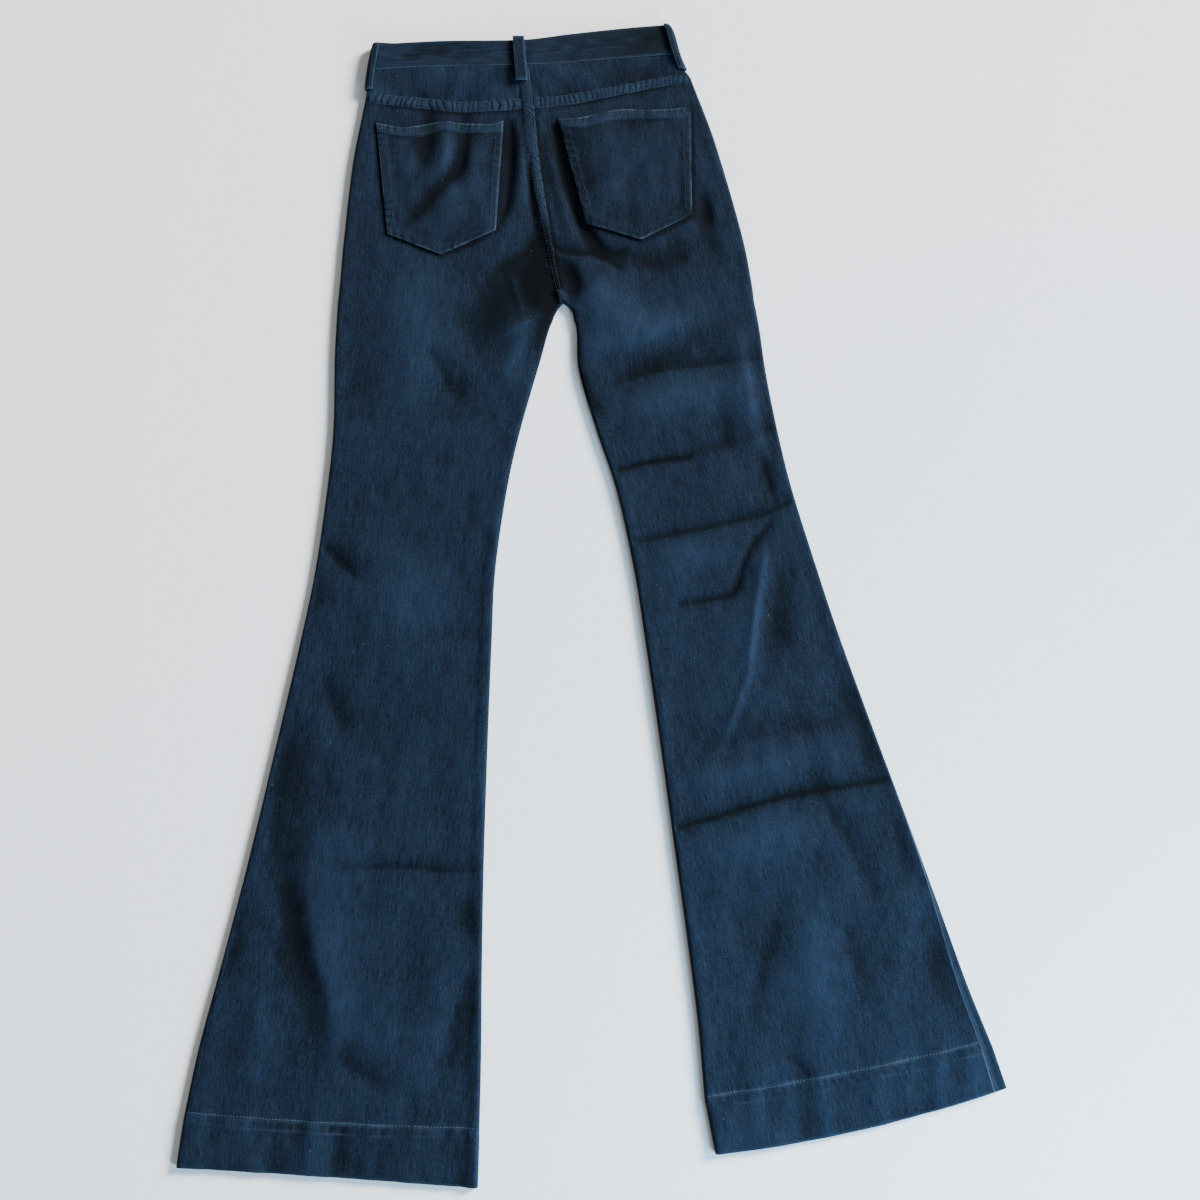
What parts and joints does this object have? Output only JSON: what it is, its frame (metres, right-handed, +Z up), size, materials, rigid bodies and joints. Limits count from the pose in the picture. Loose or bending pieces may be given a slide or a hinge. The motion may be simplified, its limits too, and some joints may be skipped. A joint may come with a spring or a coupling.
{
  "type": "pair of flared jeans laid flat",
  "caption": "Very dark stretch denim flared jeans lying flat with the back up, with creased legs, patch pockets, a yoke and a looped waistband.",
  "frame": {"origin": "middle of the jeans' plan at the surface that they lie on", "axes": "+Y along the length from the hems to the waist, +X to the wearer's right, +Z up from the surface, through the front to the back"},
  "size_m": [0.7968, 1.168, 0.0131],
  "materials": {
    "denim": "very dark overdyed stretch denim twill, matt, with a little sheen on the folds",
    "pocket_denim": "the same denim, a little worn along the pocket edges",
    "button_metal": "antiqued, satin"
  },
  "bodies": {
    "root": {"back_leg_left": "denim", "back_leg_right": "denim", "yoke_left": "denim", "yoke_right": "denim", "front_leg_left": "denim", "front_leg_right": "denim", "waistband": "denim", "back_pocket_left": "pocket_denim", "back_pocket_right": "pocket_denim", "loop_back_center": "denim", "loop_side_left": "denim", "loop_side_right": "denim", "loop_front_left": "denim", "loop_front_right": "denim", "button": "button_metal"}
  },
  "joints": []
}
